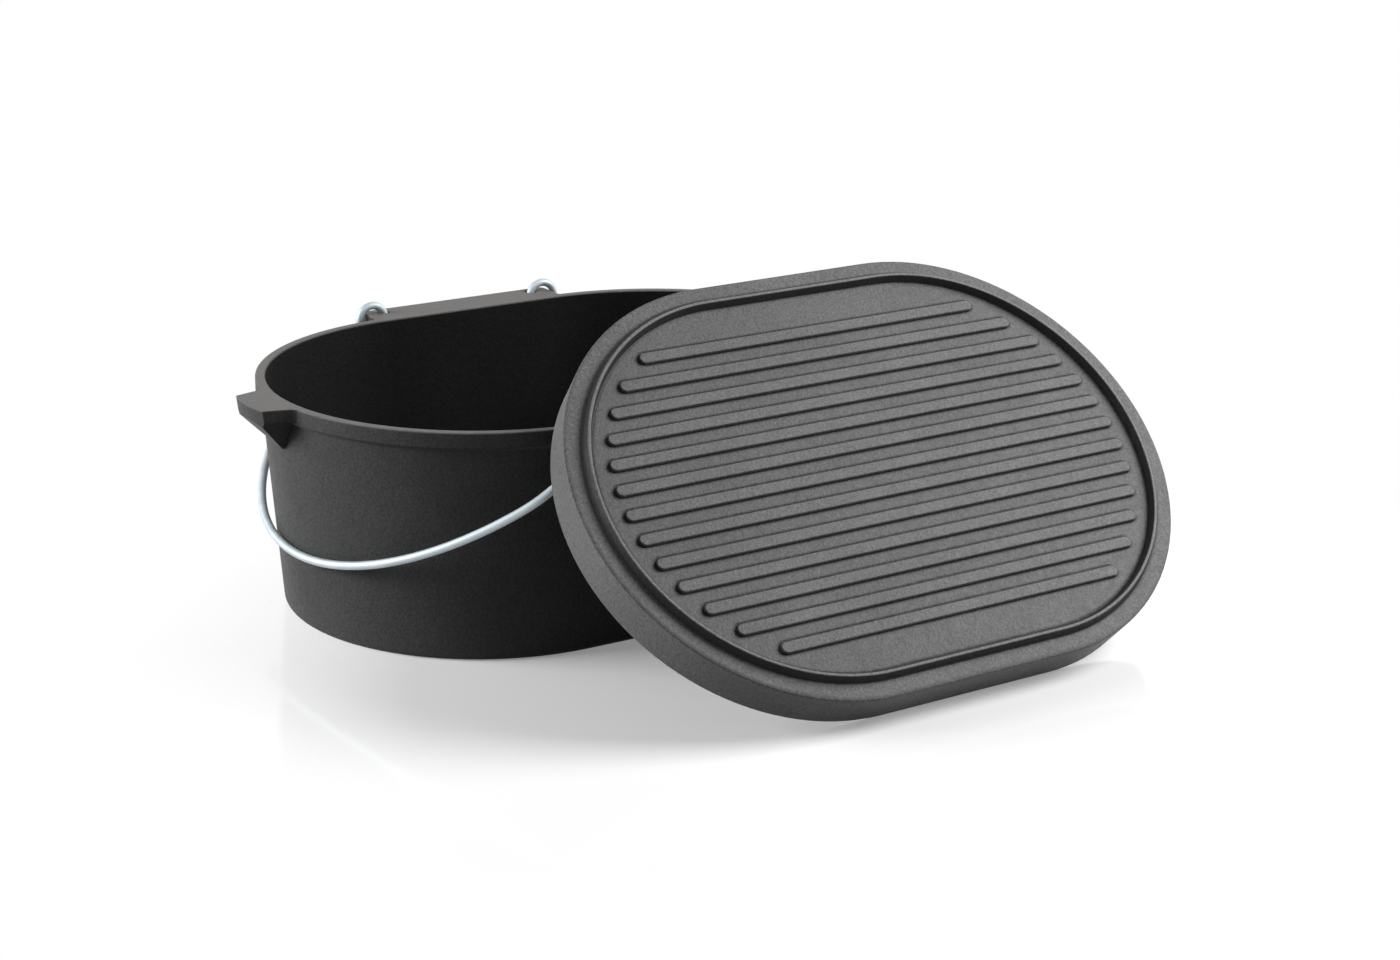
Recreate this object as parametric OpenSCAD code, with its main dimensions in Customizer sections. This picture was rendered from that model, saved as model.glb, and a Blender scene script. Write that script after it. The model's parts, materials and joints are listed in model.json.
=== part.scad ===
// Oval camp dutch oven: a cast iron pot, its ribbed lid leaning on it, and two wire bails.
// Millimetres. The origin is the middle of the pot's base, X runs along the pot, Z is up.

/* [Pot] */
// Half the length of the straight sides, from the pot's middle to the centre of a round end
side_half = 60; // [45:1:80]
// Outer radius of the round ends at the rim
rim_r = 137.5; // [120:0.5:155]
// Width of the flat rim
rim_w = 6; // [5:0.5:9]
// Height of the pot from its base to its rim
pot_h = 141; // [120:1:170]
// Thickness of the wall below the rim
wall_t = 4; // [3.5:0.1:5.5]
// Lean of the wall from upright, in degrees
wall_draft = 4.3; // [3:0.1:7]
// Thickness of the floor
floor_t = 6; // [4:0.5:9]
// Height of the thicker band under the rim
band_h = 9; // [6:0.5:12]
// Radius of the rounded edge round the base
base_round = 4; // [3:0.5:8]
// Radius of the rounded corner between floor and wall inside
floor_round = 14; // [8:0.5:20]
// Radius of the worn edges of the castings
edge_round = 0.9; // [0.6:0.1:1.8]

/* [Tab handles] */
// How far a tab stands out from the rim
tab_reach = 18; // [12:0.5:22]
// Width of a tab at its outer edge
tab_w = 38; // [30:1:48]
// Width of a tab where it runs into the rim
tab_root_w = 49; // [42:1:60]
// Radius of the blend between a tab's side and the rim
tab_blend = 9; // [5:0.5:12]
// How far the curved outer edge stands out past its corners
tab_bow = 2; // [1:0.25:4]
// Height of a tab's outer face
tab_face_h = 7.5; // [6:0.5:11]
// Lean of a tab's outer face and sides, in degrees
tab_draft = 7; // [3:0.5:12]
// Slope of the wedge under a tab, in degrees from level
tab_slope = 47; // [38:1:55]

/* [Bail lugs] */
// From the pot's middle to the middle of an eye, along the pot
eye_x = 62.5; // [50:0.5:72]
// From the rim to the middle of an eye, across the pot
eye_out = 14.5; // [12:0.5:18]
// From the middle of an eye to the outer edge of its lug
lug_margin = 8.5; // [7:0.5:11]
// Thickness of a lug
lug_t = 7.5; // [6:0.25:9]
// Width of the land at a lug's end that an eye goes round
land_w = 8.6; // [7:0.2:11]
// Room for the wire in the hole through a lug
hole_play = 3; // [2.4:0.1:4]
// Radius of a lug's outer corners
lug_corner = 5; // [3:0.5:5]
// Reach of the wedge that carries a lug on the wall
lug_root = 6; // [4:0.5:8]

/* [Bails] */
// Diameter of the wire
wire_d = 5; // [4:0.25:6]
// Room between an eye and the land inside it
eye_play = 0.8; // [0.4:0.1:1.2]
// Gap between the crown and a tab's edge as the bail swings past
bail_play = 1.2; // [1:0.1:4]
// How much wider the crown's bend is than the eyes' half span
crown_extra = 10; // [6:0.5:16]
// Radius of the bends at the shoulders
shoulder_r = 60; // [45:1:75]

/* [Lid] */
// How far the lid's edge stands out past the rim
lid_overhang = 0.5; // [0.25:0.25:3]
// Thickness of the lid's plate
plate_t = 7; // [5:0.5:9]
// Depth of the lid from its ribbed face to the edge of its coal wall
lid_depth = 26.6; // [24:0.1:32]
// Thickness of the coal wall
coal_wall_t = 5.5; // [4:0.5:7]
// Lean of the coal wall, in degrees
coal_draft = 3.5; // [2.5:0.5:7]
// Radius of the lid's outer edge
lid_round = 1; // [0.8:0.1:3]
// Radius of the corner between the plate and the coal wall
tray_round = 6; // [3:0.5:8]
// Gap between the bead and the pot's mouth
bead_play = 4; // [2:0.25:5]
// Width of the bead at its foot
bead_w = 5.75; // [5.25:0.25:8]
// Height of the bead
bead_h = 5; // [4:0.25:8.5]
// How far each side of the bead leans in from its foot to its top
bead_lean = 2; // [0.5:0.1:2]

/* [Ribs] */
// Spacing of the ribs
rib_pitch = 16; // [13:0.5:22]
// Width of a rib at its foot
rib_w = 7.5; // [5.5:0.25:8.5]
// Height of a rib
rib_h = 2.4; // [1.8:0.1:4]
// Gap between the rib ends and the bead
rib_margin = 9; // [7:0.5:14]

/* [Lifting loop] */
// Half the length of the loop between the middles of its posts
loop_half = 34; // [26:1:46]
// Thickness of the loop's bar
loop_d = 8; // [6:0.5:9]
// How far the loop stays below the edge of the coal wall
loop_clear = 1; // [0.5:0.5:3]

/* [Lid leaning on the pot] */
// Slope of the leaning lid, in degrees from level
lid_lean = 41.7; // [39:0.1:44]
// Turn of the leaning lid about the upright, in degrees
lid_turn = 1.3; // [0.6:0.1:2.2]
// How far the leaning lid stands to the right of the pot's middle
lid_shift = 85.6; // [75:0.2:95]
// Gap left where the loose pieces lie against each other
rest_gap = 0.4; // [0.3:0.05:0.6]

/* [Hidden] */
$fn = 96;

iron_black = [0.16, 0.16, 0.17];
iron_grey = [0.27, 0.27, 0.27];
zinc = [0.82, 0.85, 0.87];

// steps in a rounded corner
arc_steps = 6;
// overlap of pieces that are cast or bent as one
bond = 1;

// pot
mouth_r = rim_r - rim_w;
slope = tan(wall_draft);
skew = sqrt(1 + slope * slope);
wall_foot_r = mouth_r - slope * pot_h + wall_t;
cavity_foot_r = mouth_r - slope * (pot_h - floor_t);
band_foot = pot_h - band_h;
band_step = rim_r - (wall_foot_r + slope * band_foot);
// slope of the band's underside, in degrees from level
band_slope = 37;
band_under = band_foot - band_step * tan(band_slope);

// tabs
rim_end = side_half + rim_r;
tab_tip = rim_end + tab_reach;
tab_spread = tab_root_w / 2 + tab_blend;
tab_inside = side_half + mouth_r / 2;
tab_line = side_half + sqrt(rim_r * rim_r - tab_spread * tab_spread);
tab_face_foot = pot_h - tab_face_h;
tab_drop = (tab_reach + band_step) * tan(tab_slope);
tab_point = 2;
tab_bow_share = 0.85;
tab_bow_r = tab_bow_share * norm([tab_w / 2, 2 * tab_bow]) * tab_w / (4 * tab_bow);

// lugs and eyes
wire_r = wire_d / 2;
eye_r = wire_r + eye_play + norm([land_w, lug_t]) / 2;
eye_y = rim_r + eye_out;
eye_z = pot_h - lug_t / 2;
hole_d = wire_d + hole_play;
hole_x = eye_x - land_w / 2 - hole_d / 2;
lug_end = eye_x + land_w / 2;
lug_edge = eye_y + lug_margin;
lug_inside = rim_r - rim_w / 2;

// swelling of the wire where two bends meet
swell = 0.06;
// bails: the crown clears the tab, and the hanging bail lies against the end wall
tab_below = max(lug_t / 2, tab_face_h - lug_t / 2);
bail_reach = norm([tab_tip - eye_x, tab_below]) + wire_r + bail_play;
crown_r = eye_y + crown_extra;
crown_half = asin((eye_y - shoulder_r) / (crown_r - shoulder_r));
crown_u = bail_reach - crown_r;
shoulder_u = crown_u + (crown_r - shoulder_r) * cos(crown_half);
wall_at_eye = side_half + wall_foot_r + slope * eye_z - eye_x;
hang = wall_draft + acos((wall_at_eye + (wire_r + rest_gap) * skew) / (bail_reach * skew));

// lid, in its own frame: ribbed face up at zero, coal wall below
lid_r = rim_r + lid_overhang;
coal_slope = tan(coal_draft);
coal_foot_r = lid_r - coal_slope * lid_depth;
tray_r = lid_r - coal_slope * plate_t - coal_wall_t;
bead_out_r = mouth_r - bead_play;
bead_in_r = bead_out_r - bead_w;
bead_round = min(edge_round, bead_w / 2 - bead_lean);
rib_tip_r = bead_in_r - rib_margin;
rib_rows = floor((rib_tip_r - rib_w) / rib_pitch);
rib_draft = 0.5;
rib_round = 0.7;
loop_bend = loop_d;
loop_rise = lid_depth - plate_t - loop_clear - loop_d / 2;

// leaning lid: its coal wall stands on the ground, its tray lies on an eye and its wall on the rim
lean_x = [cos(lid_turn), sin(lid_turn), 0];
lean_y = [-sin(lid_turn) * cos(lid_lean), cos(lid_turn) * cos(lid_lean), sin(lid_lean)];
lean_z = [sin(lid_turn) * sin(lid_lean), -cos(lid_turn) * sin(lid_lean), cos(lid_lean)];
coal_edge_r = coal_foot_r - edge_round / tan(45 + coal_draft / 2);
lid_z = coal_edge_r * sin(lid_lean) + (lid_depth - edge_round) * cos(lid_lean) + edge_round;
eye_seat = lean_z * [eye_x, -eye_y, eye_z] + eye_r * norm([lean_z.x, lean_z.z]) + wire_r + plate_t;
lug_seat = lean_z * [lug_end, -lug_edge, pot_h] + plate_t;
wall_margin = 0.5;
rim_points = [for (a = [180:270]) [rim_r * cos(a) - side_half, rim_r * sin(a), pot_h]];
leg_steps = 12;
leg_line = [for (k = [0:leg_steps]) [shoulder_u * k / leg_steps, eye_y]];
leg_bend = [for (k = [0:leg_steps])
    let (a = 90 - (90 - crown_half) * k / leg_steps)
    [shoulder_u, eye_y - shoulder_r] + shoulder_r * [cos(a), sin(a)]];
leg_points = [for (p = concat(leg_line, leg_bend))
    [-eye_x - p.x * cos(hang), -p.y, eye_z - p.x * sin(hang)]];
lug_steps = 24;
lug_points = [for (k = [-lug_steps:lug_steps]) for (y = [rim_r, lug_edge])
    [lug_end * k / lug_steps, -y, pot_h]];
eye_points = [for (side = [-1, 1]) for (a = [0:15:345])
    [side * eye_x + eye_r * cos(a), -eye_y, eye_z + eye_r * sin(a)]];
lid_seat = rest_gap + backed_off(max(eye_seat, lug_seat));

// a seat moved out until the coal wall clears the rim, the lug, the eyes and the left bail's near leg
function backed_off(seat) =
    let (next = max(concat(
        [seat],
        wall_seats(rim_points, 0, seat),
        wall_seats(lug_points, 0, seat),
        wall_seats(eye_points, wire_r, seat),
        wall_seats(leg_points, wire_r, seat))))
    next > seat ? backed_off(next) : seat;

// seats at which the coal wall would touch points with this much round them, for a lid about this seat
function wall_seats(points, around, seat) = [for (p = points)
    let (v = p - lid_centre(seat))
    let (r = norm([max(abs(v * lean_x) - side_half, 0), v * lean_y]))
    if (r > coal_foot_r - coal_wall_t - around - wall_margin && r < lid_r + around + wall_margin)
        p * lean_z + around + lid_depth];

// middle of the lid's ribbed face when the plane of that face is this far from the origin
function lid_centre(seat) =
    [lid_shift, (lean_z.x * lid_shift + lean_z.z * lid_z - seat) / -lean_z.y, lid_z];

function unit(v) = v / norm(v);
function turn(u, w) = u.x * w.y - u.y * w.x;

// points of the arc, radius r, that rounds the corner b between a and c
function corner_arc(a, b, c, r) =
    let (u = unit(a - b))
    let (w = unit(c - b))
    let (half = acos(u * w) / 2)
    let (centre = b + unit(u + w) * r / sin(half))
    let (first = b + u * r / tan(half) - centre)
    let (start = atan2(first.y, first.x))
    let (sweep = -sign(turn(u, w)) * (180 - 2 * half))
    [for (k = [0:arc_steps])
        let (angle = start + sweep * k / arc_steps)
        centre + r * [cos(angle), sin(angle)]];

// outline through corners given as x, y and the radius that rounds them
function rounded(corners) =
    let (n = len(corners))
    let (at = [for (c = corners) [c[0], c[1]]])
    [for (i = [0:n - 1]) each
        corners[i][2] == 0
            ? [at[i]]
            : corner_arc(at[(i + n - 1) % n], at[i], at[(i + 1) % n], corners[i][2])];

// sweeps an outline of radius and height round two half circles and the straight sides between them
module racetrack(half) {
    for (end = [-1, 1])
        translate([end * half, 0, 0])
            rotate([0, 0, -90 * end])
                rotate_extrude(angle = 180)
                    children();
    for (side = [0, 1])
        rotate([0, 0, 180 * side])
            translate([-half, 0, 0])
                rotate([90, 0, 90])
                    linear_extrude(2 * half)
                        children();
}

module pot_outside() {
    racetrack(side_half)
        polygon(rounded([
            [0, 0, 0],
            [wall_foot_r, 0, base_round],
            [wall_foot_r + slope * band_under, band_under, 2 * edge_round],
            [rim_r, band_foot, edge_round],
            [rim_r, pot_h, edge_round],
            [0, pot_h, 0],
        ]));
}

module pot_cavity() {
    racetrack(side_half)
        polygon(rounded([
            [0, floor_t, 0],
            [cavity_foot_r, floor_t, floor_round],
            [mouth_r - slope * edge_round, pot_h - edge_round, 0],
            [mouth_r + 2 * edge_round, pot_h + edge_round, 0],
            [0, pot_h + edge_round, 0],
        ]));
}

module tab_plan() {
    polygon(rounded([
        [tab_inside, -tab_spread, 0],
        [tab_line, -tab_spread, 0],
        [tab_line, -tab_root_w / 2, tab_blend],
        [tab_tip - tab_bow, -tab_w / 2, edge_round],
        [tab_tip + tab_bow, 0, tab_bow_r],
        [tab_tip - tab_bow, tab_w / 2, edge_round],
        [tab_line, tab_root_w / 2, tab_blend],
        [tab_line, tab_spread, 0],
        [tab_inside, tab_spread, 0],
    ]));
}

module tab() {
    intersection() {
        translate([tab_tip, 0, pot_h])
            rotate([0, tab_draft, 0])
                translate([-tab_tip, 0, -pot_h])
                    linear_extrude(2 * pot_h)
                        tab_plan();
        rotate([90, 0, 0])
            linear_extrude(4 * tab_spread, center = true)
                polygon([
                    [tab_inside, pot_h],
                    [tab_inside, tab_face_foot - (tab_tip - tab_inside) * tan(tab_slope)],
                    [tab_tip, tab_face_foot],
                    [tab_tip + 2 * tab_bow, tab_face_foot + tab_bow],
                    [tab_tip + 2 * tab_bow, pot_h],
                ]);
        rotate([90, 0, 90])
            linear_extrude(tab_tip + 2 * tab_bow)
                polygon([
                    [-2 * tab_spread, pot_h],
                    [-2 * tab_spread, tab_face_foot],
                    [-tab_w / 2, tab_face_foot],
                    [-tab_point, tab_face_foot - tab_drop],
                    [tab_point, tab_face_foot - tab_drop],
                    [tab_w / 2, tab_face_foot],
                    [2 * tab_spread, tab_face_foot],
                    [2 * tab_spread, pot_h],
                ]);
    }
}

module lug() {
    difference() {
        intersection() {
            linear_extrude(pot_h)
                polygon(rounded([
                    [-lug_end - 2 * lug_corner, lug_inside, 0],
                    [-lug_end, lug_inside, lug_corner],
                    [-lug_end, lug_edge, lug_corner],
                    [lug_end, lug_edge, lug_corner],
                    [lug_end, lug_inside, lug_corner],
                    [lug_end + 2 * lug_corner, lug_inside, 0],
                    [lug_end, mouth_r / 2, 0],
                    [-lug_end, mouth_r / 2, 0],
                ]));
            rotate([90, 0, 90])
                linear_extrude(4 * lug_end, center = true)
                    polygon(rounded([
                        [mouth_r / 2, pot_h, 0],
                        [mouth_r / 2, pot_h - lug_t - lug_root - rim_r + mouth_r / 2, 0],
                        [rim_r + lug_root, pot_h - lug_t, edge_round],
                        [lug_edge, pot_h - lug_t, edge_round],
                        [lug_edge, pot_h, edge_round],
                    ]));
        }
        for (side = [-1, 1])
            translate([side * hole_x, eye_y, pot_h - 2 * lug_t])
                cylinder(d = hole_d, h = 3 * lug_t);
    }
}

module pot() {
    color(iron_black)
        difference() {
            union() {
                pot_outside();
                for (side = [0, 1])
                    rotate([0, 0, 180 * side]) {
                        tab();
                        lug();
                    }
            }
            pot_cavity();
        }
}

module rib(half) {
    racetrack(half)
        polygon(rounded([
            [0, -bond, 0],
            [rib_w / 2, -bond, 0],
            [rib_w / 2, 0, 0],
            [rib_w / 2 - rib_draft, rib_h, rib_round],
            [0, rib_h, 0],
        ]));
}

// a low cast loop on the coal side, lower than the coal wall, for a hook
module lifting_loop() {
    for (side = [-1, 1]) {
        translate([side * loop_half, 0, -bond])
            cylinder(d = loop_d, h = loop_rise - loop_bend + bond);
        translate([side * (loop_half - loop_bend), 0, loop_rise - loop_bend])
            rotate([90, 0, 90 - 90 * side])
                rotate_extrude(angle = 90)
                    translate([loop_bend, 0])
                        circle(d = loop_d);
    }
    translate([-loop_half + loop_bend, 0, loop_rise])
        rotate([0, 90, 0])
            cylinder(d = loop_d, h = 2 * (loop_half - loop_bend));
}

module lid_casting() {
    racetrack(side_half)
        polygon(rounded([
            [0, -plate_t, 0],
            [tray_r, -plate_t, tray_round],
            [coal_foot_r - coal_wall_t, -lid_depth, edge_round],
            [coal_foot_r, -lid_depth, edge_round],
            [lid_r, 0, lid_round],
            [bead_out_r, 0, edge_round],
            [bead_out_r - bead_lean, bead_h, bead_round],
            [bead_in_r + bead_lean, bead_h, bead_round],
            [bead_in_r, 0, edge_round],
            [0, 0, 0],
        ]));
    for (row = [-rib_rows:rib_rows])
        translate([0, row * rib_pitch, 0])
            rib(side_half + sqrt(pow(rib_tip_r, 2) - pow(row * rib_pitch, 2)) - rib_w / 2);
    translate([0, 0, -plate_t])
        rotate([180, 0, 0])
            lifting_loop();
}

module lid() {
    color(iron_grey)
        translate(lid_centre(lid_seat))
            rotate([lid_lean, 0, lid_turn])
                lid_casting();
}

// a bend of the wire, radius r, in the bail's plane
module wire_bend(r, sweep) {
    rotate_extrude(angle = sweep)
        translate([r, 0])
            circle(r = wire_r);
}

// a bail along +X from its hinge line, which is the Y axis, with a slight swelling between its bends
module bail() {
    translate([crown_u, 0, 0])
        rotate([0, 0, -crown_half])
            wire_bend(crown_r, 2 * crown_half);
    for (side = [-1, 1]) {
        translate([shoulder_u, side * (eye_y - shoulder_r), 0])
            rotate([0, 0, side > 0 ? crown_half : -90])
                wire_bend(shoulder_r, 90 - crown_half);
        translate([crown_u + crown_r * cos(crown_half), side * crown_r * sin(crown_half), 0])
            sphere(r = wire_r + swell);
        translate([shoulder_u, side * eye_y, 0])
            sphere(r = wire_r + swell);
        translate([eye_r, side * eye_y, 0])
            rotate([0, 90, 0])
                cylinder(r = wire_r, h = shoulder_u - eye_r);
        translate([0, side * eye_y, 0])
            rotate([90, 0, 0])
                wire_bend(eye_r, 360);
    }
}

module right_bail() {
    color(zinc)
        translate([eye_x, 0, eye_z])
            rotate([0, hang, 0])
                bail();
}

module left_bail() {
    color(zinc)
        rotate([0, 0, 180])
            translate([eye_x, 0, eye_z])
                rotate([0, hang, 0])
                    bail();
}

pot();
lid();
left_bail();
right_bail();
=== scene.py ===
"""Oval camp dutch oven: a cast iron pot, its ribbed lid leaning on it, and two bent wire bails."""

import json
import math

import bmesh
import bpy
from mathutils import Euler, Matrix, Vector


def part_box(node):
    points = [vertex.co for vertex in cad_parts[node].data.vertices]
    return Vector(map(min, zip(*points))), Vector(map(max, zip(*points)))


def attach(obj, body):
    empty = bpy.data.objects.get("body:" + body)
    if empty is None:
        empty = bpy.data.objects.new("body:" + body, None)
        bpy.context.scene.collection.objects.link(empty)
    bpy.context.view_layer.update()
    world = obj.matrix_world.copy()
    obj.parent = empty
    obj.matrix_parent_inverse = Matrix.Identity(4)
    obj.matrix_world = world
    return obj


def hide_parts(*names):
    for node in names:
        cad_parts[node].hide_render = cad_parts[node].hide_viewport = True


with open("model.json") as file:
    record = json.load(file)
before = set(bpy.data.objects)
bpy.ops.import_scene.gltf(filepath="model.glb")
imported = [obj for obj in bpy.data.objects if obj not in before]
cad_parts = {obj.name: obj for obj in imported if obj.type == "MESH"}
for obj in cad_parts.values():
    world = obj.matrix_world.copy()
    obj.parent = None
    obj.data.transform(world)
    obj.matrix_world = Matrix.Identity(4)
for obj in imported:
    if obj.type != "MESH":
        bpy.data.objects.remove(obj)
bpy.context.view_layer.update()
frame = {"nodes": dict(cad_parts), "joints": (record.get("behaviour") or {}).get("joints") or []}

MM = 0.001

# The photograph's camera, in the pot's frame
PHOTO_WIDTH = 1400
FOCAL_PIXELS = 2795.8
SENSOR_WIDTH = 36.0
CAMERA_PLACE = Vector((-0.81475, -1.44531, 0.59297))
CAMERA_AZIMUTH = math.radians(32.14)
CAMERA_DOWN = math.radians(17.816)
CAMERA_ROLL = math.radians(0.425)
CAMERA_REACH = 50.0

# The plan of both castings has round ends on straight sides, and the pot's wall leans outwards
SIDE_HALF = 60 * MM
POT_TOP = 141 * MM
WALL_MIDDLE_R = 122.9 * MM
WALL_SLOPE = math.tan(math.radians(4.3))

# The middle of the lid's ribbed face, how the lid leans, and the outer foot of its bead
LID_MIDDLE = Vector((85.6, -206.79, 110.25)) * MM
LID_LEAN = Euler((math.radians(41.7), 0.0, math.radians(1.3)))
BEAD_R = 127.5 * MM

# The bent wire of a bail
WIRE_R = 2.5 * MM
WIRE_SIDES = 24
EYE_R = 9.005 * MM
EYE_OUT = 152 * MM
EYE_GAP = math.radians(27)
EYE_STEPS = 36
CROWN_R = 162 * MM
CROWN_STEPS = 28
SHOULDER_R = 60 * MM
SHOULDER_STEPS = 12
NECK_R = 6 * MM
NECK_STEPS = 8
CUT_EDGE = 0.6 * MM
CUT_EDGE_STEPS = 2
WELD = 0.01 * MM

# What all finishes share: the ranges that masks and noises run through, and half a soft border's width
UNIT = (0.0, 1.0)
NOISE_MIDDLE = (0.3, 0.7)
NOISE_ROUGHNESS = 0.55
BORDER_HALF = 0.5 * MM

# The skin of sand-cast iron: shades are factors on its colour
PATCH_SIZE = 40 * MM
PATCH_DETAIL = 4.0
CAST_DEPTH = 0.3 * MM
SKIN_SIZE = 4 * MM
SKIN_DETAIL = 2.0
SKIN_BUMP = 0.5
SKIN_ROUGHNESS = (0.46, 0.6)
GRAIN_SIZE = 1.4 * MM
GRAIN_DETAIL = 2.0
GRAIN_BUMP = 0.8
GRAIN_MIDDLE = (0.32, 0.68)
GRAIN_SHADES = (0.76, 1.24)
# Painted shade in the inner corners of the casting, from ambient occlusion
PAINTED_CORNER_SHADE_REACH = 3 * MM
PAINTED_CORNER_SHADE_DEEP_TO_OPEN = (0.55, 0.82)
SHADE_OCCLUSION_SAMPLES = 8
EDGE_R = 0.4 * MM
EDGE_TURNED_TO_FLAT = (0.8, 0.98)
EDGE_SAMPLES = 6
EDGE_SHADES = (1.0, 1.25)

# The pot's own finish
POT_DARK = (0.051, 0.0512, 0.0522)
POT_LIGHT = (0.0635, 0.0637, 0.0647)
POT_GLOSS = 0.09
# Painted shade in the pot's inner corners
POT_PAINTED_CORNER_SHADE = 0.2
# Painted shade on the inside of the pot
INSIDE_PAINTED_SHADE = (1.0, 0.16)
WALL_INSIDE_TO_OUTSIDE = (WALL_MIDDLE_R - BORDER_HALF, WALL_MIDDLE_R + BORDER_HALF)
# A lighter tone on the pot's top face
TOP_FACE_DARK = (0.135, 0.130, 0.125)
TOP_FACE_LIGHT = (0.175, 0.168, 0.162)
TOP_FACE_HEIGHTS = (POT_TOP - 0.9 * MM, POT_TOP - 0.2 * MM)

# The lid's own finish, in its own axes: heights are over its plate, and radii run out from its middle line
PLATE_OUT = (0.0, 0.0, 1.0)
LID_DARK = (0.131, 0.134, 0.132)
LID_LIGHT = (0.156, 0.159, 0.156)
LID_GLOSS = 0.16
# Painted shade in the lid's inner corners
LID_PAINTED_CORNER_SHADE = 0.75
# Painted shade on the lid's plate near its ribs and its bead
PAINTED_WIDE_SHADE_REACH = 12 * MM
PAINTED_WIDE_SHADE_DEEP_TO_OPEN = (0.65, 0.92)
PAINTED_WIDE_SHADE_SHADES = (0.85, 1.0)
# Painted shadow lines on the plate close behind each rib
SHADOW_LINE_REACH = 2.5 * MM
SHADOW_LINE_TO_RIB = (-0.7, -0.7, 0.0)
SHADOW_LINE_DEEP_TO_OPEN = (0.75, 0.98)
PLATE_TO_RIB = (0.3 * MM, 1.0 * MM)
RIB_TOP = (1.2 * MM, 2.2 * MM)
RIB_TOP_SHADES = (1.0, 1.14)
BEAD_TOP = (4.2 * MM, 4.8 * MM)
BEAD_TOP_SHADES = (1.0, 1.25)
# Painted shade on the steep sides of the ribs and the bead
SIDE_STEEP_TO_LEVEL = (0.6, 0.95)
SIDE_FOOT = (0.2 * MM, 0.6 * MM)
RIBS_TO_BEAD = (BEAD_R - 9 * MM, BEAD_R - 8 * MM)
SIDE_PAINTED_SHADE = (0.1, 0.85)
BEAD_TO_FLANGE = (BEAD_R - BORDER_HALF, BEAD_R + BORDER_HALF)
COAL_WALL_TO_FLANGE = (-2.0 * MM, -0.5 * MM)
SAND_SIZE = 2 * MM
SAND_DETAIL = 3.0
SAND_SHADES = (-0.12, 0.28)

# The zinc on the wire
ZINC_DARK = (0.40, 0.45, 0.475)
ZINC_LIGHT = (0.46, 0.51, 0.535)
ZINC_ROUGHNESS = (0.62, 0.7)
CLOUD_SIZE = 9 * MM
CLOUD_DETAIL = 1.0
CLOUD_DEPTH = 0.1 * MM
CLOUD_BUMP = 0.05

# The studio, in metres and watts: the floor runs out round the middle of the shadow
WHITE = (1.0, 1.0, 1.0, 1.0)
AMBIENT = 0.06
FLOOR_SIZE = 6.0
FLOOR_ROUGHNESS = 0.1
FLOOR_IOR = 1.6
FLOOR_BOUNCE_AND_SEEN = (0.2, 0.9)
FLOOR_GLOW = (0.0, 0.23)
FLOOR_RUN_OUT = (0.29, 0.46)
SHADOW_MIDDLE = Vector((0.08, -0.26, 0.0))
SOFTBOXES = {
    "right_side": {"place": (1.4, -0.75, 1.2), "target": (0.08, -0.2, 0.11), "size": 1.2, "power": 42.5},
    "left_side": {"place": (-1.4, 0.55, 0.6), "target": (-0.15, 0.0, 0.08), "size": 0.8, "power": 28.0},
}


def new_material(name):
    """A node material, its Principled shader and its Object coordinates."""
    material = bpy.data.materials.new(name)
    material.use_nodes = True
    nodes = material.node_tree.nodes
    coordinates = nodes.new("ShaderNodeTexCoord").outputs["Object"]
    return material, nodes["Principled BSDF"], coordinates


def math_node(owner, operation, *values):
    """A Math node of a material or the world, fed by sockets or plain numbers."""
    node = owner.node_tree.nodes.new("ShaderNodeMath")
    node.operation = operation
    for socket, value in zip(node.inputs, values):
        if isinstance(value, (int, float)):
            socket.default_value = value
        else:
            owner.node_tree.links.new(value, socket)
    return node.outputs["Value"]


def both(material, first, second):
    """A mask where two masks overlap."""
    return math_node(material, "MULTIPLY", first, second)


def noise(material, coordinates, size, detail):
    """Noise whose features are about this size, in metres."""
    node = material.node_tree.nodes.new("ShaderNodeTexNoise")
    node.inputs["Scale"].default_value = 1.0 / size
    node.inputs["Detail"].default_value = detail
    node.inputs["Roughness"].default_value = NOISE_ROUGHNESS
    material.node_tree.links.new(coordinates, node.inputs["Vector"])
    return node.outputs["Fac"]


def two_tone(material, value, dark, light):
    """A colour that goes from dark to light over the middle of a noise."""
    node = material.node_tree.nodes.new("ShaderNodeValToRGB")
    tones = zip(node.color_ramp.elements, NOISE_MIDDLE, (dark, light))
    for element, position, colour in tones:
        element.position = position
        element.color = (*colour, 1.0)
    material.node_tree.links.new(value, node.inputs["Fac"])
    return node.outputs["Color"]


def level(owner, value, source, result):
    """Maps one range of a value to another in a material or the world, and stays at its ends."""
    node = owner.node_tree.nodes.new("ShaderNodeMapRange")
    node.inputs["From Min"].default_value = source[0]
    node.inputs["From Max"].default_value = source[1]
    node.inputs["To Min"].default_value = result[0]
    node.inputs["To Max"].default_value = result[1]
    owner.node_tree.links.new(value, node.inputs["Value"])
    return node.outputs["Result"]


def rising(material, value, source):
    """A mask that rises from zero to one over a range of a value."""
    return level(material, value, source, UNIT)


def falling(material, value, source):
    """A mask that falls from one to zero over a range of a value."""
    return level(material, value, source, (1.0, 0.0))


def shaded(material, colour, amount):
    """A colour made darker or lighter by a factor."""
    node = material.node_tree.nodes.new("ShaderNodeVectorMath")
    node.operation = "SCALE"
    material.node_tree.links.new(colour, node.inputs[0])
    material.node_tree.links.new(amount, node.inputs["Scale"])
    return node.outputs["Vector"]


def blackened(material, colour, mask):
    """A colour that goes black where the mask is one."""
    return shaded(material, colour, math_node(material, "SUBTRACT", 1.0, mask))


def mixed(material, factor, first, second):
    """One colour that gives way to another."""
    node = material.node_tree.nodes.new("ShaderNodeMix")
    node.data_type = "RGBA"
    links = material.node_tree.links
    links.new(factor, node.inputs["Factor"])
    links.new(first, node.inputs["A"])
    links.new(second, node.inputs["B"])
    return node.outputs["Result"]


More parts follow.
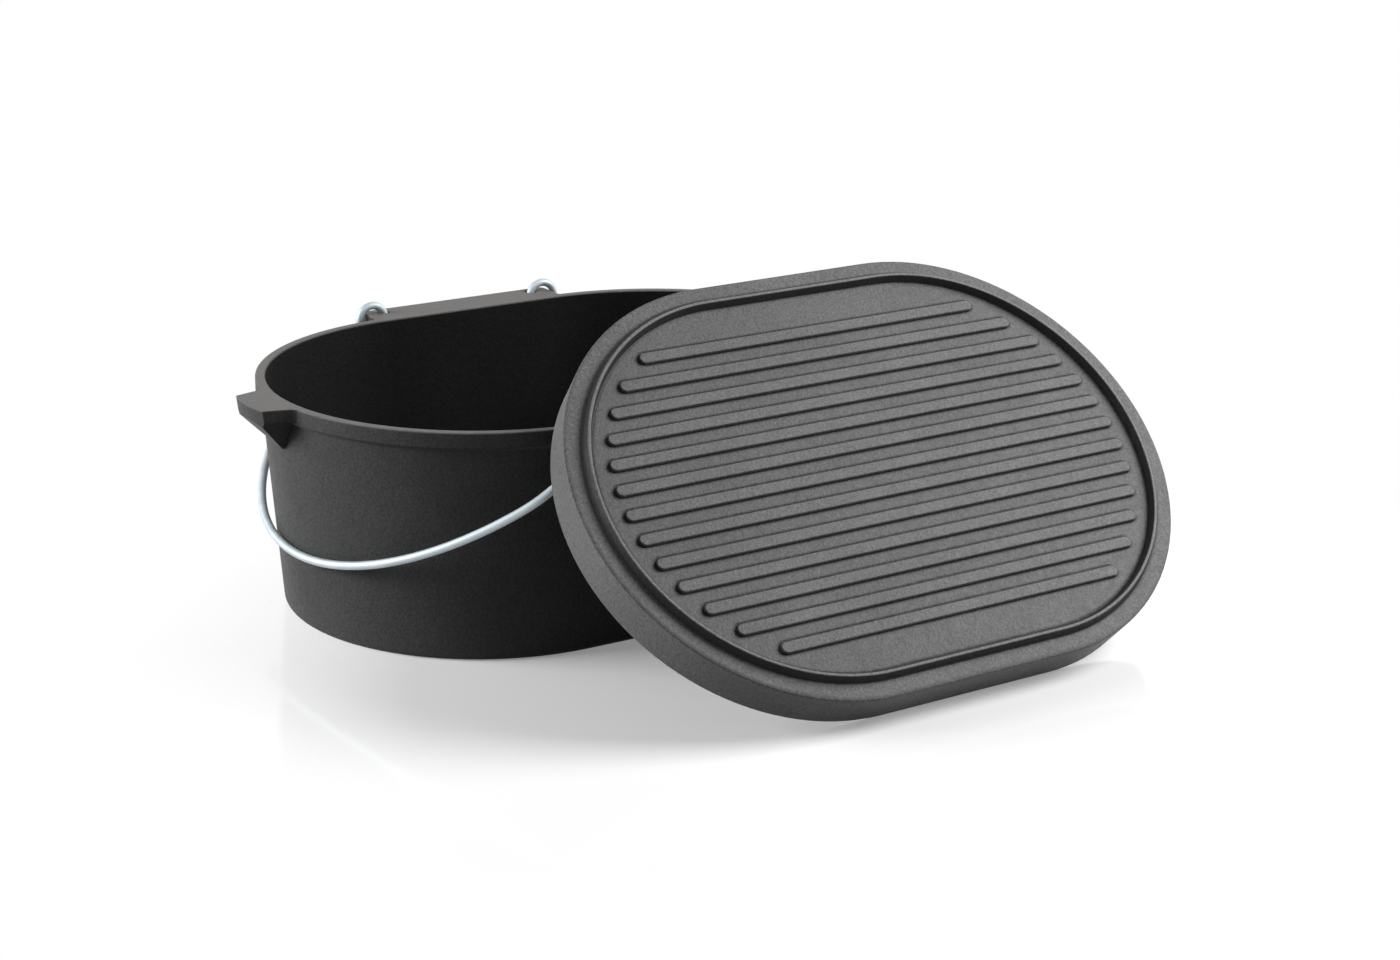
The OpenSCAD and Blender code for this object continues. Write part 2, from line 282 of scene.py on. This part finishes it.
def bump(material, height, depth, strength, under=None):
    """A bump of this depth, in metres, on top of another normal."""
    node = material.node_tree.nodes.new("ShaderNodeBump")
    node.inputs["Distance"].default_value = depth
    node.inputs["Strength"].default_value = strength
    material.node_tree.links.new(height, node.inputs["Height"])
    if under:
        material.node_tree.links.new(under, node.inputs["Normal"])
    return node.outputs["Normal"]


def crevices(material, reach, towards=None):
    """Ambient occlusion for painted shade: low in inner corners of the casting, one on open faces. It can
    look for walls on one side only.
    """
    nodes = material.node_tree.nodes
    links = material.node_tree.links
    node = nodes.new("ShaderNodeAmbientOcclusion")
    node.samples = SHADE_OCCLUSION_SAMPLES
    node.only_local = True
    node.inputs["Distance"].default_value = reach
    if towards:
        tilted = nodes.new("ShaderNodeVectorMath")
        tilted.operation = "ADD"
        links.new(nodes.new("ShaderNodeNewGeometry").outputs["Normal"], tilted.inputs[0])
        tilted.inputs[1].default_value = towards
        links.new(tilted.outputs["Vector"], node.inputs["Normal"])
    return node.outputs["AO"]


def worn_edges(material, radius):
    """The rounded normal of worn edges, and a mask of where it departs from the face."""
    nodes = material.node_tree.nodes
    links = material.node_tree.links
    rounded = nodes.new("ShaderNodeBevel")
    rounded.samples = EDGE_SAMPLES
    rounded.inputs["Radius"].default_value = radius
    agreement = nodes.new("ShaderNodeVectorMath")
    agreement.operation = "DOT_PRODUCT"
    links.new(rounded.outputs["Normal"], agreement.inputs[0])
    links.new(nodes.new("ShaderNodeNewGeometry").outputs["Normal"], agreement.inputs[1])
    edge = falling(material, agreement.outputs["Value"], EDGE_TURNED_TO_FLAT)
    return rounded.outputs["Normal"], edge


def facing(material, direction):
    """One where the surface faces a direction squarely, zero where it is edge on."""
    node = material.node_tree.nodes.new("ShaderNodeVectorMath")
    node.operation = "DOT_PRODUCT"
    normal = material.node_tree.nodes.new("ShaderNodeNewGeometry").outputs["Normal"]
    material.node_tree.links.new(normal, node.inputs[0])
    node.inputs[1].default_value = direction
    return node.outputs["Value"]


def plan_radius(material, coordinates):
    """How far a point lies out from the middle line of an oval casting, and its height."""
    nodes = material.node_tree.nodes
    links = material.node_tree.links
    parts = nodes.new("ShaderNodeSeparateXYZ")
    links.new(coordinates, parts.inputs["Vector"])
    along = math_node(material, "ABSOLUTE", parts.outputs["X"])
    past_side = math_node(material, "MAXIMUM", math_node(material, "SUBTRACT", along, SIDE_HALF), 0.0)
    plan = nodes.new("ShaderNodeCombineXYZ")
    links.new(past_side, plan.inputs["X"])
    links.new(parts.outputs["Y"], plan.inputs["Y"])
    radius = nodes.new("ShaderNodeVectorMath")
    radius.operation = "LENGTH"
    links.new(plan.outputs["Vector"], radius.inputs[0])
    return radius.outputs["Value"], parts.outputs["Z"]


def lid_coordinates(material, coordinates):
    """Coordinates from the middle of the lid's ribbed face, with Z square to it."""
    node = material.node_tree.nodes.new("ShaderNodeMapping")
    node.vector_type = "TEXTURE"
    node.inputs["Location"].default_value = LID_MIDDLE
    node.inputs["Rotation"].default_value = LID_LEAN
    material.node_tree.links.new(coordinates, node.inputs["Vector"])
    return node.outputs["Vector"]


def lid_direction(own):
    """A direction in the lid's own axes, turned as the lid leans."""
    direction = Vector(own)
    direction.rotate(LID_LEAN)
    return direction


def cast_iron(name, dark, light, gloss, painted_corner_shade):
    """Sand-cast iron: fine grain, faint patches, painted shade in inner corners, and edges rubbed lighter.
    """
    material, shader, coordinates = new_material(name)
    links = material.node_tree.links
    patches = noise(material, coordinates, PATCH_SIZE, PATCH_DETAIL)
    grain = noise(material, coordinates, GRAIN_SIZE, GRAIN_DETAIL)
    skin = noise(material, coordinates, SKIN_SIZE, SKIN_DETAIL)
    edge_normal, edge = worn_edges(material, EDGE_R)
    occlusion_for_shade = crevices(material, PAINTED_CORNER_SHADE_REACH)
    colour = two_tone(material, patches, dark, light)
    colour = shaded(material, colour, level(material, grain, GRAIN_MIDDLE, GRAIN_SHADES))
    # Painted shade in the inner corners
    colour = shaded(material, colour, level(material, occlusion_for_shade, PAINTED_CORNER_SHADE_DEEP_TO_OPEN, (painted_corner_shade, 1.0)))
    colour = shaded(material, colour, level(material, edge, UNIT, EDGE_SHADES))
    shader.inputs["Specular IOR Level"].default_value = gloss
    links.new(level(material, skin, NOISE_MIDDLE, SKIN_ROUGHNESS), shader.inputs["Roughness"])
    wavy = bump(material, skin, CAST_DEPTH, SKIN_BUMP, under=edge_normal)
    links.new(bump(material, grain, CAST_DEPTH, GRAIN_BUMP, under=wavy), shader.inputs["Normal"])
    return material, shader, coordinates, colour


def inside_pot(material, coordinates):
    """One on the inside of the pot's wall, zero on its outside."""
    radius, height = plan_radius(material, coordinates)
    lean = math_node(material, "MULTIPLY", height, WALL_SLOPE)
    foot_radius = math_node(material, "SUBTRACT", radius, lean)
    return falling(material, foot_radius, WALL_INSIDE_TO_OUTSIDE)


def top_face(material, coordinates):
    """One on the pot's top face, zero below it."""
    parts = material.node_tree.nodes.new("ShaderNodeSeparateXYZ")
    material.node_tree.links.new(coordinates, parts.inputs["Vector"])
    return rising(material, parts.outputs["Z"], TOP_FACE_HEIGHTS)


def pot_iron():
    """Black iron with painted shade inside, and a lighter tone on its top face."""
    material, shader, coordinates, colour = cast_iron(
        "pot_iron", POT_DARK, POT_LIGHT, POT_GLOSS, POT_PAINTED_CORNER_SHADE
    )
    # Painted shade on the inside of the pot's wall
    inside = inside_pot(material, coordinates)
    colour = shaded(material, colour, level(material, inside, UNIT, INSIDE_PAINTED_SHADE))
    skin = noise(material, coordinates, SKIN_SIZE, SKIN_DETAIL)
    top_face_tone = two_tone(material, skin, TOP_FACE_DARK, TOP_FACE_LIGHT)
    colour = mixed(material, top_face(material, coordinates), colour, top_face_tone)
    material.node_tree.links.new(colour, shader.inputs["Base Color"])
    return material


def painted_wide_shade(material):
    """Painted shade on the lid's plate near its ribs and its bead."""
    occlusion_for_shade = crevices(material, PAINTED_WIDE_SHADE_REACH)
    return level(material, occlusion_for_shade, PAINTED_WIDE_SHADE_DEEP_TO_OPEN, PAINTED_WIDE_SHADE_SHADES)


def painted_shadow_lines_behind_ribs(material, height):
    """One on the lid's plate close behind each rib, where a painted shadow line lies."""
    occlusion_behind_rib = crevices(material, SHADOW_LINE_REACH, towards=lid_direction(SHADOW_LINE_TO_RIB))
    line = falling(material, occlusion_behind_rib, SHADOW_LINE_DEEP_TO_OPEN)
    on_plate = falling(material, height, PLATE_TO_RIB)
    return both(material, line, on_plate)


def painted_shade_on_sides(material, radius, height):
    """How much painted shade is on the steep sides of the ribs and the bead."""
    steep = falling(material, facing(material, lid_direction(PLATE_OUT)), SIDE_STEEP_TO_LEVEL)
    side = both(material, steep, rising(material, height, SIDE_FOOT))
    return both(material, side, level(material, radius, RIBS_TO_BEAD, SIDE_PAINTED_SHADE))


def flange_sand(material, coordinates, radius, height):
    """The shade of the coarse sand on the flange outside the bead."""
    outside_bead = rising(material, radius, BEAD_TO_FLANGE)
    flange = both(material, outside_bead, rising(material, height, COAL_WALL_TO_FLANGE))
    grit = noise(material, coordinates, SAND_SIZE, SAND_DETAIL)
    sand = level(material, grit, NOISE_MIDDLE, SAND_SHADES)
    return math_node(material, "MULTIPLY_ADD", sand, flange, 1.0)


def lid_iron():
    """Grey iron, lighter on the tops of the ribs and the bead, with painted shade on their sides and near
    them, painted shadow lines behind the ribs, and coarse sand on the flange.
    """
    material, shader, coordinates, colour = cast_iron(
        "lid_iron", LID_DARK, LID_LIGHT, LID_GLOSS, LID_PAINTED_CORNER_SHADE
    )
    radius, height = plan_radius(material, lid_coordinates(material, coordinates))
    # Painted shade near the ribs and the bead
    colour = shaded(material, colour, painted_wide_shade(material))
    # Painted shadow lines behind the ribs
    colour = blackened(material, colour, painted_shadow_lines_behind_ribs(material, height))
    colour = shaded(material, colour, level(material, height, RIB_TOP, RIB_TOP_SHADES))
    colour = shaded(material, colour, level(material, height, BEAD_TOP, BEAD_TOP_SHADES))
    # Painted shade on the steep sides of the ribs and the bead
    colour = blackened(material, colour, painted_shade_on_sides(material, radius, height))
    colour = shaded(material, colour, flange_sand(material, coordinates, radius, height))
    material.node_tree.links.new(colour, shader.inputs["Base Color"])
    return material


def zinc_wire(name):
    """Zinc-plated drawn wire: pale, satin and slightly cloudy."""
    material, shader, coordinates = new_material(name)
    links = material.node_tree.links
    shader.inputs["Metallic"].default_value = 1.0
    cloud = noise(material, coordinates, CLOUD_SIZE, CLOUD_DETAIL)
    links.new(two_tone(material, cloud, ZINC_DARK, ZINC_LIGHT), shader.inputs["Base Color"])
    links.new(level(material, cloud, NOISE_MIDDLE, ZINC_ROUGHNESS), shader.inputs["Roughness"])
    links.new(bump(material, cloud, CLOUD_DEPTH, CLOUD_BUMP), shader.inputs["Normal"])
    return material


def dress(node, material):
    """Gives a CAD node its finish."""
    mesh = frame["nodes"][node].data
    mesh.materials.clear()
    mesh.materials.append(material)


def edges_of(geometry):
    """The edges among some bmesh parts."""
    return [part for part in geometry if isinstance(part, bmesh.types.BMEdge)]


def bend(wire, ring, centre, axis, angle, steps):
    """Carries the wire's end round a bend and returns its new end."""
    spun = bmesh.ops.spin(wire, geom=ring, cent=centre, axis=axis, angle=angle, steps=steps)
    return [part for part in spun["geom_last"] if not isinstance(part, bmesh.types.BMFace)]


def straight(wire, ring, along):
    """Carries the wire's end straight on and returns its new end."""
    drawn = bmesh.ops.extrude_edge_only(wire, edges=edges_of(ring))["geom"]
    verts = [part for part in drawn if isinstance(part, bmesh.types.BMVert)]
    bmesh.ops.translate(wire, verts=verts, vec=along)
    end_edges = [edge for edge in edges_of(drawn) if set(edge.verts) <= set(verts)]
    return verts + end_edges


def bend_half_bail(wire, reach):
    """Bends half a bail in its own plane, from the crown's middle out along X to the eye's cut end."""
    across = Vector((0.0, 1.0, 0.0))
    square = Vector((0.0, 0.0, 1.0))
    crown_x = reach - CROWN_R
    crown_half = math.asin((EYE_OUT - SHOULDER_R) / (CROWN_R - SHOULDER_R))
    shoulder_x = crown_x + (CROWN_R - SHOULDER_R) * math.cos(crown_half)
    shoulder_y = EYE_OUT - SHOULDER_R
    shoulder_turn = math.pi / 2 - crown_half
    neck_x = math.sqrt(EYE_R * EYE_R + 2 * EYE_R * NECK_R)
    neck_turn = math.acos(NECK_R / (EYE_R + NECK_R))
    eye_turn = 1.5 * math.pi + neck_turn - EYE_GAP

    start = Matrix.Translation((reach, 0.0, 0.0)) @ Matrix.Rotation(math.pi / 2, 4, "X")
    bmesh.ops.create_circle(wire, segments=WIRE_SIDES, radius=WIRE_R, matrix=start)
    ring = wire.verts[:] + wire.edges[:]
    ring = bend(wire, ring, (crown_x, 0.0, 0.0), square, crown_half, CROWN_STEPS)
    ring = bend(wire, ring, (shoulder_x, shoulder_y, 0.0), square, shoulder_turn, SHOULDER_STEPS)
    ring = straight(wire, ring, (neck_x - shoulder_x, 0.0, 0.0))
    ring = bend(wire, ring, (neck_x, EYE_OUT, NECK_R), across, neck_turn, NECK_STEPS)
    ring = bend(wire, ring, (0.0, EYE_OUT, 0.0), across, -eye_turn, EYE_STEPS)
    cut = edges_of(ring)
    bmesh.ops.holes_fill(wire, edges=cut, sides=WIRE_SIDES)
    bmesh.ops.bevel(
        wire,
        geom=cut,
        offset=CUT_EDGE,
        affect="EDGES",
        segments=CUT_EDGE_STEPS,
        profile=0.5,
        material=-1,
        clamp_overlap=True,
    )


def bail(name, material):
    """One wire: crown, shoulders and legs, with an eye at each end. It replaces the CAD node of its name."""
    joint = next(joint for joint in frame["joints"] if joint["child"] == name)
    hinge = Vector(joint["pos_m"])
    low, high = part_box(name)
    on_right = hinge.x > 0
    run = (high.x if on_right else -low.x) - abs(hinge.x) - WIRE_R
    drop = hinge.z - low.z - WIRE_R
    hang = math.atan2(drop, run)
    side_turn = 0.0 if on_right else math.pi

    wire = bmesh.new()
    bend_half_bail(wire, math.hypot(run, drop))
    half = wire.verts[:] + wire.edges[:] + wire.faces[:]
    bmesh.ops.mirror(wire, geom=half, merge_dist=WELD, axis="Y")
    bmesh.ops.remove_doubles(wire, verts=wire.verts[:], dist=WELD)
    place = Matrix.Translation(hinge) @ Matrix.Rotation(side_turn, 4, "Z") @ Matrix.Rotation(hang, 4, "Y")
    bmesh.ops.transform(wire, matrix=place, verts=wire.verts[:])
    bmesh.ops.recalc_face_normals(wire, faces=wire.faces[:])

    mesh = bpy.data.meshes.new(name + "_wire")
    wire.to_mesh(mesh)
    wire.free()
    mesh.shade_smooth()
    mesh.materials.append(material)
    piece = bpy.data.objects.new(name + "_wire", mesh)
    bpy.context.collection.objects.link(piece)
    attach(piece, name)
    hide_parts(name)


def studio_camera():
    """The camera that took the photograph."""
    camera = bpy.data.cameras.new("camera")
    camera.sensor_fit = "HORIZONTAL"
    camera.sensor_width = SENSOR_WIDTH
    camera.lens = FOCAL_PIXELS * SENSOR_WIDTH / PHOTO_WIDTH
    camera.clip_end = CAMERA_REACH
    holder = bpy.data.objects.new("camera", camera)
    turn = Matrix.Rotation(-CAMERA_AZIMUTH, 4, "Z")
    tip = Matrix.Rotation(math.pi / 2 - CAMERA_DOWN, 4, "X")
    roll = Matrix.Rotation(CAMERA_ROLL, 4, "Z")
    holder.matrix_world = Matrix.Translation(CAMERA_PLACE) @ turn @ tip @ roll
    bpy.context.collection.objects.link(holder)
    bpy.context.scene.camera = holder


def softbox(name, place, target, size, power):
    """A square studio light that faces a point."""
    lamp = bpy.data.lights.new(name, "AREA")
    lamp.shape = "SQUARE"
    lamp.size = size
    lamp.energy = power
    holder = bpy.data.objects.new(name, lamp)
    aim = Vector(target) - Vector(place)
    holder.location = place
    holder.rotation_euler = aim.to_track_quat("-Z", "Y").to_euler()
    bpy.context.collection.objects.link(holder)


def background_rays(owner):
    """One for the rays that look at the white background: from the camera, and from gloss and glass."""
    path = owner.node_tree.nodes.new("ShaderNodeLightPath").outputs
    mirrored = math_node(owner, "MAXIMUM", path["Is Camera Ray"], path["Is Glossy Ray"])
    return math_node(owner, "MAXIMUM", mirrored, path["Is Transmission Ray"])


def white_world():
    """White where the background is looked at, a low even light elsewhere."""
    world = bpy.data.worlds.new("studio")
    bpy.context.scene.world = world
    world.use_nodes = True
    background = world.node_tree.nodes["Background"]
    background.inputs["Color"].default_value = WHITE
    strength = level(world, background_rays(world), UNIT, (AMBIENT, 1.0))
    world.node_tree.links.new(strength, background.inputs["Strength"])


def white_table():
    """A glossy white table top that keeps the object's shadow and runs out into the white background."""
    material, shader, coordinates = new_material("white_table")
    nodes = material.node_tree.nodes
    links = material.node_tree.links
    looked_at = background_rays(material)
    links.new(level(material, looked_at, UNIT, FLOOR_BOUNCE_AND_SEEN), shader.inputs["Base Color"])
    shader.inputs["Roughness"].default_value = FLOOR_ROUGHNESS
    shader.inputs["IOR"].default_value = FLOOR_IOR
    glow = nodes.new("ShaderNodeEmission")
    links.new(level(material, looked_at, UNIT, FLOOR_GLOW), glow.inputs["Strength"])
    glowing_top = nodes.new("ShaderNodeAddShader")
    links.new(shader.outputs["BSDF"], glowing_top.inputs[0])
    links.new(glow.outputs["Emission"], glowing_top.inputs[1])
    distance = nodes.new("ShaderNodeVectorMath")
    distance.operation = "DISTANCE"
    distance.inputs[1].default_value = SHADOW_MIDDLE
    links.new(coordinates, distance.inputs[0])
    run_out = nodes.new("ShaderNodeMixShader")
    links.new(rising(material, distance.outputs["Value"], FLOOR_RUN_OUT), run_out.inputs["Fac"])
    links.new(glowing_top.outputs["Shader"], run_out.inputs[1])
    links.new(nodes.new("ShaderNodeBsdfTransparent").outputs["BSDF"], run_out.inputs[2])
    links.new(run_out.outputs["Shader"], nodes["Material Output"].inputs["Surface"])
    return material


def pale_floor(material):
    """The floor that the object stands on."""
    bpy.ops.mesh.primitive_plane_add(size=FLOOR_SIZE, location=(0.0, 0.0, 0.0))
    floor = bpy.context.object
    floor.name = "floor"
    floor.data.materials.append(material)


dress("pot", pot_iron())
dress("lid", lid_iron())
wire_finish = zinc_wire("bail_wire")
bail("left_bail", wire_finish)
bail("right_bail", wire_finish)

studio_camera()
white_world()
pale_floor(white_table())
for lamp_name, lamp_facts in SOFTBOXES.items():
    softbox(lamp_name, **lamp_facts)

bpy.context.scene.view_settings.view_transform = "Standard"
